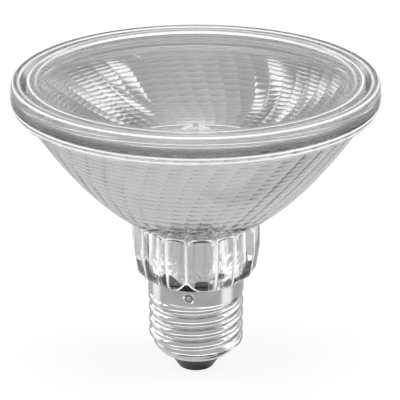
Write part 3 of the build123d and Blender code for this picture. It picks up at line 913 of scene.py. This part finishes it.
def ceramic_cement():
    """Baked ceramic cement: chalky off-white with grains of 0.4 mm."""
    material, tree, point = new_material("ceramic_cement")
    grains = add_node(tree, "ShaderNodeTexNoise", {"Vector": point, "Scale": 1 / (0.4 * mm), "Detail": 4.0})
    shade = add_node(
        tree,
        "ShaderNodeValToRGB",
        {"Fac": grains.outputs["Fac"]},
        stops=[(0.3, "#cfccc4"), (0.7, "#e8e6e0")],
    )
    relief = add_node(tree, "ShaderNodeBump", {"Height": grains.outputs["Fac"], "Distance": 0.12 * mm})
    surface = add_node(
        tree,
        "ShaderNodeBsdfPrincipled",
        {
            "Base Color": shade.outputs["Color"],
            "Roughness": 0.9,
            "Normal": relief.outputs["Normal"],
        },
    )
    add_node(tree, "ShaderNodeOutputMaterial", {"Surface": surface.outputs["BSDF"]})
    return material


finish_nodes(["burner_cement"], ceramic_cement())

# Seal under the lens. A bead of clear silicone, squeezed flat between flange and lens and cured: greyish,
# satin and a little translucent.
seal_stand_back = 0.8
seal_squeeze = 0.03         # the silicone wets both glasses, so it reaches this far into them
seal_hollow = 0.1           # its sides are drawn in this far
seal_columns = 240


def silicone():
    """Cured clear silicone: cloudy and soft, so light passes but nothing shows through sharply."""
    material, tree, point = new_material("cured_silicone")
    skin = add_node(tree, "ShaderNodeTexNoise", {"Vector": point, "Scale": 1 / (1.5 * mm), "Detail": 3.0})
    shade = add_node(
        tree, "ShaderNodeValToRGB", {"Fac": skin.outputs["Fac"]}, stops=[(0.3, "#e8e8e6"), (0.7, "#f4f4f2")]
    )
    relief = add_node(tree, "ShaderNodeBump", {"Height": skin.outputs["Fac"], "Distance": 0.05 * mm})
    surface = add_node(
        tree,
        "ShaderNodeBsdfPrincipled",
        {
            "Base Color": shade.outputs["Color"],
            "Roughness": 0.3,
            "IOR": 1.41,
            "Transmission Weight": 1.0,
            "Normal": relief.outputs["Normal"],
        },
    )
    add_node(tree, "ShaderNodeOutputMaterial", {"Surface": surface.outputs["BSDF"]})
    return material


seal_bottom, seal_top = heights("rim_seal")
seal_in, seal_out = mouth_radius + seal_stand_back, flange_radius - seal_stand_back
seal_middle = (seal_bottom + seal_top) / 2
seal_angles = np.arange(seal_columns) * 360 / seal_columns
add_piece(
    "silicone_seal",
    [
        ring(seal_angles, seal_out, seal_bottom - seal_squeeze),
        ring(seal_angles, seal_out - seal_hollow, seal_middle),
        ring(seal_angles, seal_out, seal_top + seal_squeeze),
        ring(seal_angles, seal_in, seal_top + seal_squeeze),
        ring(seal_angles, seal_in + seal_hollow, seal_middle),
        ring(seal_angles, seal_in, seal_bottom - seal_squeeze),
    ],
    [silicone()],
    ["rim_seal"],
    loop=True,
)

# Front lens. A second pressing of clear glass: rounded bead at the rim, a valley, a flat land with a fine
# groove, a step down to the window, and a spigot that drops into the bowl's mouth.
lens_radius = 48.35
lens_draft = 0.3
bead_width = 2.3
bead_radius = 1.6
valley_width = 1.0
valley_depth = 0.5
land_drop = 0.2
land_groove_radius = 43.5
land_groove_depth = 0.3
land_groove_width = 0.9
window_radius = 41.2
window_drop = 1.2
window_bevel = 0.4
window_thickness = 3.2
spigot_gap = 0.4
inner_radius = 20           # inside this the window is one flat face on each side
highlight_width = 0.32        # the painted highlight on an edge fades this far from it
lens_columns = 288


def soft_corners(section, size, steps=4):
    """The section with each corner between its ends rounded off over this length."""
    points = [section[0]]
    for before, here, after in zip(section, section[1:], section[2:]):
        here_at = Vector(here)
        back = Vector(before) - here_at
        ahead = Vector(after) - here_at
        cut = min(size, 0.45 * back.length, 0.45 * ahead.length)
        start = here_at + back.normalized() * cut
        end = here_at + ahead.normalized() * cut
        for k in range(steps + 1):
            t = k / steps
            points.append(tuple(start.lerp(here_at, t).lerp(here_at.lerp(end, t), t)))
    return points + [section[-1]]


lens_bottom, lens_top = heights("lens")
window_top = lens_top - window_drop
land_top = lens_top - land_drop
land_radius = lens_radius - bead_width - valley_width
spigot_radius = mouth_radius - spigot_gap
bead_outside = circle_through(
    (lens_radius - lens_draft, lens_top - bead_radius),
    (lens_radius - 0.2 * bead_width - lens_draft / 2, lens_top - 0.28 * bead_radius),
    (lens_radius - bead_width / 2, lens_top),
    10,
)
bead_inside = circle_through(
    (lens_radius - bead_width / 2, lens_top),
    (lens_radius - 0.8 * bead_width, lens_top - 0.3 * valley_depth),
    (lens_radius - bead_width, lens_top - valley_depth),
    6,
)
lens_under = soft_corners(
    [
        (inner_radius, window_top - window_thickness),
        (spigot_radius - window_bevel, window_top - window_thickness),
        (spigot_radius, lens_bottom - window_bevel),
        (spigot_radius, lens_bottom),
        (lens_radius - lens_draft / 2, lens_bottom),
        (lens_radius, lens_bottom + lens_draft),
        (lens_radius - lens_draft, lens_top - bead_radius),
    ],
    0.35,
)
lens_over = soft_corners(
    [
        (lens_radius - bead_width, lens_top - valley_depth),
        (land_radius, land_top),
        (land_groove_radius + land_groove_width / 2, land_top),
        (land_groove_radius, land_top - land_groove_depth),
        (land_groove_radius - land_groove_width / 2, land_top),
        (window_radius + window_bevel, land_top),
        (window_radius, window_top),
        (inner_radius, window_top),
    ],
    0.4,
)
lens_angles = np.arange(lens_columns) * 360 / lens_columns
lens_section = lens_under[:-1] + bead_outside + bead_inside[1:] + lens_over[1:]
# rounded edges with painted highlights: the rim's crown and foot, the mould's joint, the valley, the groove,
# the step
highlight_edges = (
    (lens_radius - 0.75, lens_top - 0.3),
    (lens_radius - 0.2, lens_top - 2.05),
    (lens_radius - 0.05, lens_bottom + 1.45),
    (lens_radius - 2.15, lens_top - valley_depth),
    (land_groove_radius, land_top - land_groove_depth),
    (window_radius + window_bevel / 2, land_top - 0.1),
)
lens_highlights = []
for r, z in lens_section:
    away = min(math.hypot(r - edge_r, z - edge_z) for edge_r, edge_z in highlight_edges) / highlight_width
    lens_highlights.append(np.full(lens_columns, 0.85 * math.exp(-(away**2))))
add_piece(
    "front_lens",
    [ring(lens_angles, r, z) for r, z in lens_section],
    [pressed_glass("pressed_lens_glass", 14, 0.006)],
    ["lens"],
    crease=50,
    highlight_shares=lens_highlights,
)

# Floor, surroundings and lights. A pale floor that keeps the lamp's shadow, a white background, and a round
# studio tent that only metal and glass see: grey cloth, softboxes at the sides, dark gaps, a pale back.
floor_radius_m = 3.0
tent_radius_m = 1.6
tent_columns = 96
tent_strength = 2.0
wall_foot = 0.2             # lower edge of the tent's walls, as a rise from 0 to 1
wall_edge = 0.51            # their upper edge straight behind the lamp
wall_edge_slope = 1.2       # and how much it rises from there to the front for each turn
eye_glow = 0.85             # share of plain white that the eye sees in the floor
lamp_middle = Vector((0, 0, 0.05))


def add_stage(name, rings, material):
    """A plain surface of the studio over rings of points in metres."""
    mesh = bpy.data.meshes.new(name)
    count = len(rings[0])
    faces = []
    for low in range(0, (len(rings) - 1) * count, count):
        for i in range(count):
            j = (i + 1) % count
            faces.append((low + i, low + j, low + count + j, low + count + i))
    mesh.from_pydata(np.concatenate(rings).tolist(), [], faces)
    mesh.materials.append(material)
    mesh.shade_smooth()
    stage = bpy.data.objects.new(name, mesh)
    bpy.context.scene.collection.objects.link(stage)
    return stage


def floor_paper():
    """White paper floor. The eye sees it close to the white background, with a faint shadow."""
    material, tree, point = new_material("floor_paper")
    paper = add_node(tree, "ShaderNodeBsdfDiffuse", {"Color": colour("#f4f4f4")})
    glow = add_node(tree, "ShaderNodeEmission", {"Color": (1, 1, 1, 1), "Strength": 1.0})
    path = add_node(tree, "ShaderNodeLightPath")
    share = add_node(
        tree, "ShaderNodeMath", {0: path.outputs["Is Camera Ray"], 1: eye_glow}, operation="MULTIPLY"
    ).outputs["Value"]
    mixed = add_node(
        tree, "ShaderNodeMixShader", {0: share, 1: paper.outputs["BSDF"], 2: glow.outputs["Emission"]}
    )
    add_node(tree, "ShaderNodeOutputMaterial", {"Surface": mixed.outputs["Shader"]})
    return material


def tent_directions(tree, point):
    """Where a point of the tent lies from the lamp: turn round it and rise, each from 0 to 1.

    turn is 0 and 1 straight in front, 0.25 on the left, 0.5 straight behind and 0.75 on the right. rise is 0
    straight down, 0.5 level and 1 overhead.
    """
    parts = add_node(tree, "ShaderNodeSeparateXYZ", {"Vector": point})
    around = add_node(
        tree, "ShaderNodeMath", {0: parts.outputs["X"], 1: parts.outputs["Y"]}, operation="ARCTAN2"
    ).outputs["Value"]
    turn = add_node(tree, "ShaderNodeMapRange", {"Value": around, "From Min": -math.pi, "From Max": math.pi})
    rise = add_node(
        tree,
        "ShaderNodeMapRange",
        {"Value": parts.outputs["Z"], "From Min": -tent_radius_m, "From Max": tent_radius_m},
    )
    return turn.outputs["Result"], rise.outputs["Result"]


def grey_cloth(tree, turn, rise, through_glass):
    """The tent's grey cloth, which has a light top for glass, and for metal a dark gap overhead."""
    glass_cloth = add_node(
        tree,
        "ShaderNodeValToRGB",
        {"Fac": rise},
        stops=[
            (0.0, "#a2a2a2"), (0.18, "#a2a2a2"), (0.26, "#8e8e8e"), (0.36, "#8e8e8e"), (0.6, "#8e8e8e"),
            (0.72, "#8c8c8c"), (0.8, "#606060"), (0.83, "#606060"), (0.89, "#848484"), (0.953, "#a4a4a4"),
            (1.0, "#ffffff"),
        ],
    ).outputs["Color"]
    metal_cloth = add_node(
        tree,
        "ShaderNodeValToRGB",
        {"Fac": rise},
        stops=[
            (0.0, "#a2a2a2"), (0.18, "#a2a2a2"), (0.26, "#8e8e8e"), (0.36, "#8e8e8e"), (0.6, "#969696"),
            (0.88, "#9a9a9a"), (0.93, "#303030"), (1.0, "#303030"),
        ],
    ).outputs["Color"]
    # a dark screen stands low on the right, behind the lamp
    screen_width = add_node(
        tree,
        "ShaderNodeValToRGB",
        {"Fac": turn},
        stops=[
            (0.0, "#000000"), (0.62, "#000000"), (0.64, "#ffffff"), (0.7, "#ffffff"), (0.72, "#000000"),
            (1.0, "#000000"),
        ],
    ).outputs["Color"]
    screen_height = add_node(
        tree,
        "ShaderNodeMapRange",
        {"Value": rise, "From Min": 0.25, "From Max": 0.28, "To Min": 1, "To Max": 0},
    ).outputs["Result"]
    screen = add_node(
        tree, "ShaderNodeMath", {0: screen_width, 1: screen_height}, operation="MULTIPLY"
    ).outputs["Value"]
    metal_cloth = add_node(
        tree, "ShaderNodeMix", {0: screen, 6: metal_cloth, 7: colour("#303030")}, data_type="RGBA"
    ).outputs[2]
    return add_node(
        tree, "ShaderNodeMix", {0: through_glass, 6: metal_cloth, 7: glass_cloth}, data_type="RGBA"
    ).outputs[2]


def side_walls(tree, turn, rise, through_glass):
    """Softboxes with grey gaps at both sides and pale paper behind, and the share of the tent they take."""
    upper = add_node(
        tree,
        "ShaderNodeValToRGB",
        {"Fac": turn},
        stops=[
            # softboxes on the left
            (0.0, "#000000"), (0.2, "#000000"), (0.205, "#ffffff"), (0.232, "#ffffff"),
            (0.237, "#606060"), (0.253, "#606060"), (0.258, "#ffffff"), (0.281, "#ffffff"),
            (0.285, "#707070"), (0.291, "#707070"), (0.295, "#ffffff"), (0.328, "#ffffff"),
            (0.333, "#707070"), (0.342, "#707070"), (0.347, "#ffffff"), (0.395, "#ffffff"),
            # grey paper behind
            (0.405, "#000000"), (0.44, "#8c8c8c"), (0.56, "#8c8c8c"), (0.59, "#000000"),
            # softboxes on the right
            (0.605, "#b4b4b4"), (0.665, "#b4b4b4"), (0.675, "#ffffff"), (0.728, "#ffffff"),
            (0.732, "#808080"), (0.736, "#ffffff"), (0.77, "#ffffff"), (0.774, "#707070"),
            (0.784, "#707070"), (0.788, "#ffffff"), (0.811, "#ffffff"), (0.818, "#000000"),
        ],
    ).outputs["Color"]
    lower = add_node(
        tree,
        "ShaderNodeValToRGB",
        {"Fac": turn},
        stops=[
            (0.0, "#000000"), (0.235, "#000000"), (0.28, "#cccccc"), (0.335, "#cccccc"), (0.385, "#000000"),
            (0.41, "#000000"), (0.43, "#969696"), (0.57, "#969696"), (0.6, "#000000"), (0.69, "#000000"),
            (0.75, "#cccccc"), (0.81, "#cccccc"), (0.85, "#000000"), (1.0, "#000000"),
        ],
    ).outputs["Color"]
    # glass sees the paper behind the lamp paler
    paper = add_node(
        tree,
        "ShaderNodeValToRGB",
        {"Fac": turn},
        stops=[
            (0.0, "#000000"), (0.41, "#000000"), (0.44, "#dcdcdc"), (0.56, "#dcdcdc"), (0.59, "#000000"),
            (1.0, "#000000"),
        ],
    ).outputs["Color"]
    lower = add_node(
        tree,
        "ShaderNodeMix",
        {0: through_glass, 6: lower, 7: paper},
        data_type="RGBA",
        blend_type="LIGHTEN",
    ).outputs[2]
    is_upper = add_node(
        tree, "ShaderNodeMapRange", {"Value": rise, "From Min": 0.46, "From Max": 0.5}
    ).outputs["Result"]
    walls = add_node(tree, "ShaderNodeMix", {0: is_upper, 6: lower, 7: upper}, data_type="RGBA").outputs[2]
    # the upper edge of the walls rises towards the front, and the lower edge is level
    from_back = add_node(tree, "ShaderNodeMath", {0: turn, 1: 0.5}, operation="SUBTRACT").outputs["Value"]
    from_back = add_node(tree, "ShaderNodeMath", {0: from_back}, operation="ABSOLUTE").outputs["Value"]
    over_edge = add_node(
        tree, "ShaderNodeMath", {0: from_back, 1: -wall_edge_slope, 2: rise}, operation="MULTIPLY_ADD"
    ).outputs["Value"]
    top = add_node(
        tree,
        "ShaderNodeMapRange",
        {"Value": over_edge, "From Min": wall_edge, "From Max": wall_edge + 0.03, "To Min": 1, "To Max": 0},
    ).outputs["Result"]
    foot = add_node(
        tree, "ShaderNodeMapRange", {"Value": rise, "From Min": wall_foot, "From Max": wall_foot + 0.06}
    ).outputs["Result"]
    share = add_node(tree, "ShaderNodeMath", {0: top, 1: foot}, operation="MULTIPLY").outputs["Value"]
    return walls, share


def front_sweep(tree, turn, rise, through_glass):
    """White paper in front of the lamp with a dark gap under it, seen in the undersides of the thread.

    Metal sees it in full and glass only faintly.
    """
    ahead = add_node(
        tree,
        "ShaderNodeValToRGB",
        {"Fac": turn},
        stops=[
            (0.0, "#ffffff"), (0.17, "#ffffff"), (0.23, "#000000"), (0.76, "#000000"), (0.8, "#ffffff"),
            (1.0, "#ffffff"),
        ],
    ).outputs["Color"]
    sweep = add_node(
        tree,
        "ShaderNodeValToRGB",
        {"Fac": rise},
        stops=[(0.03, "#000000"), (0.085, "#000000"), (0.1, "#ffffff"), (0.22, "#ffffff")],
    ).outputs["Color"]
    reach = add_node(
        tree,
        "ShaderNodeValToRGB",
        {"Fac": rise},
        stops=[(0.03, "#000000"), (0.04, "#ffffff"), (0.2, "#ffffff"), (0.22, "#000000")],
    ).outputs["Color"]
    share = add_node(tree, "ShaderNodeMath", {0: ahead, 1: reach}, operation="MULTIPLY").outputs["Value"]
    clearness = add_node(
        tree, "ShaderNodeMapRange", {"Value": through_glass, "To Min": 1, "To Max": 0.2}
    ).outputs["Result"]
    share = add_node(tree, "ShaderNodeMath", {0: share, 1: clearness}, operation="MULTIPLY").outputs["Value"]
    return sweep, share


def tent_cloth():
    """Surroundings by direction, which glow. White at full strength is a softbox, and the rest grey cloth."""
    material, tree, point = new_material("tent_cloth")
    turn, rise = tent_directions(tree, point)
    through_glass = add_node(tree, "ShaderNodeLightPath").outputs["Is Transmission Ray"]
    cloth = grey_cloth(tree, turn, rise, through_glass)
    walls, wall_share = side_walls(tree, turn, rise, through_glass)
    sweep, sweep_share = front_sweep(tree, turn, rise, through_glass)
    seen = add_node(
        tree, "ShaderNodeMix", {0: wall_share, 6: cloth, 7: walls}, data_type="RGBA", blend_type="LIGHTEN"
    ).outputs[2]
    seen = add_node(tree, "ShaderNodeMix", {0: sweep_share, 6: seen, 7: sweep}, data_type="RGBA").outputs[2]
    glow = add_node(tree, "ShaderNodeEmission", {"Color": seen, "Strength": tent_strength})
    add_node(tree, "ShaderNodeOutputMaterial", {"Surface": glow.outputs["Emission"]})
    return material


tent_angles = np.arange(tent_columns) * 360 / tent_columns
floor = add_stage(
    "floor", [ring(tent_angles, r, 0.0) for r in (0.0001, 0.1, 0.4, 1.0, floor_radius_m)], floor_paper()
)
floor.visible_glossy = False
floor.visible_transmission = False
tent_rings = [
    ring(tent_angles, tent_radius_m * math.cos(e), tent_radius_m * math.sin(e))
    for e in np.radians(np.linspace(-89.9, 89.9, 61))
]
tent = add_stage("tent", tent_rings, tent_cloth())
tent.visible_camera = False
tent.visible_diffuse = False
tent.visible_shadow = False

# the background is plain white to the eye, in mirrors and through glass, and lights the lamp half as much
world = bpy.data.worlds.new("studio")
bpy.context.scene.world = world
world.use_nodes = True
world.node_tree.nodes.clear()
path = add_node(world.node_tree, "ShaderNodeLightPath")
seen = add_node(
    world.node_tree,
    "ShaderNodeMath",
    {0: path.outputs["Is Camera Ray"], 1: path.outputs["Is Transmission Ray"]},
    operation="MAXIMUM",
)
seen = add_node(
    world.node_tree,
    "ShaderNodeMath",
    {0: seen.outputs["Value"], 1: path.outputs["Is Glossy Ray"]},
    operation="MAXIMUM",
)
strength = add_node(
    world.node_tree, "ShaderNodeMapRange", {"Value": seen.outputs["Value"], "To Min": 0.5, "To Max": 1.0}
)
sky = add_node(
    world.node_tree, "ShaderNodeBackground", {"Color": (1, 1, 1, 1), "Strength": strength.outputs["Result"]}
)
add_node(world.node_tree, "ShaderNodeOutputWorld", {"Surface": sky.outputs["Background"]})


def add_softbox(name, place, size, power):
    """A square softbox at this place in metres, aimed at the middle of the lamp."""
    light = bpy.data.lights.new(name, "AREA")
    light.shape = "SQUARE"
    light.size = size
    light.energy = power
    softbox = bpy.data.objects.new(name, light)
    softbox.location = place
    softbox.rotation_euler = (lamp_middle - Vector(place)).to_track_quat("-Z", "Y").to_euler()
    softbox.visible_glossy = False
    softbox.visible_transmission = False
    bpy.context.scene.collection.objects.link(softbox)


add_softbox("softbox_left", (-0.9, -0.3, 0.7), 0.6, 7)
add_softbox("softbox_right", (0.9, -0.2, 0.6), 0.6, 7)
add_softbox("softbox_top", (0, 0.2, 1.3), 0.8, 9)

# light in the glass bounces many times between the lens, the mirror and the cap before it leaves
glass_bounces = 40
bpy.context.scene.cycles.max_bounces = glass_bounces
bpy.context.scene.cycles.glossy_bounces = glass_bounces
bpy.context.scene.cycles.transmission_bounces = glass_bounces

# Camera. It looks down on the lamp from the front at the photograph's angle, from close by with a long lens.
camera_tilt = math.radians(22.51)
camera_distance = 0.405
camera_aim = Vector((0.00112, 0, 0.04991))
camera_data = bpy.data.cameras.new("camera")
camera_data.lens = 135
camera_data.sensor_width = 36
camera_data.clip_start = 0.01
camera = bpy.data.objects.new("camera", camera_data)
camera.location = camera_aim + camera_distance * Vector((0, -math.cos(camera_tilt), math.sin(camera_tilt)))
camera.rotation_euler = (math.pi / 2 - camera_tilt, 0, 0)
bpy.context.scene.collection.objects.link(camera)
bpy.context.scene.camera = camera
bpy.context.scene.view_settings.view_transform = "Standard"
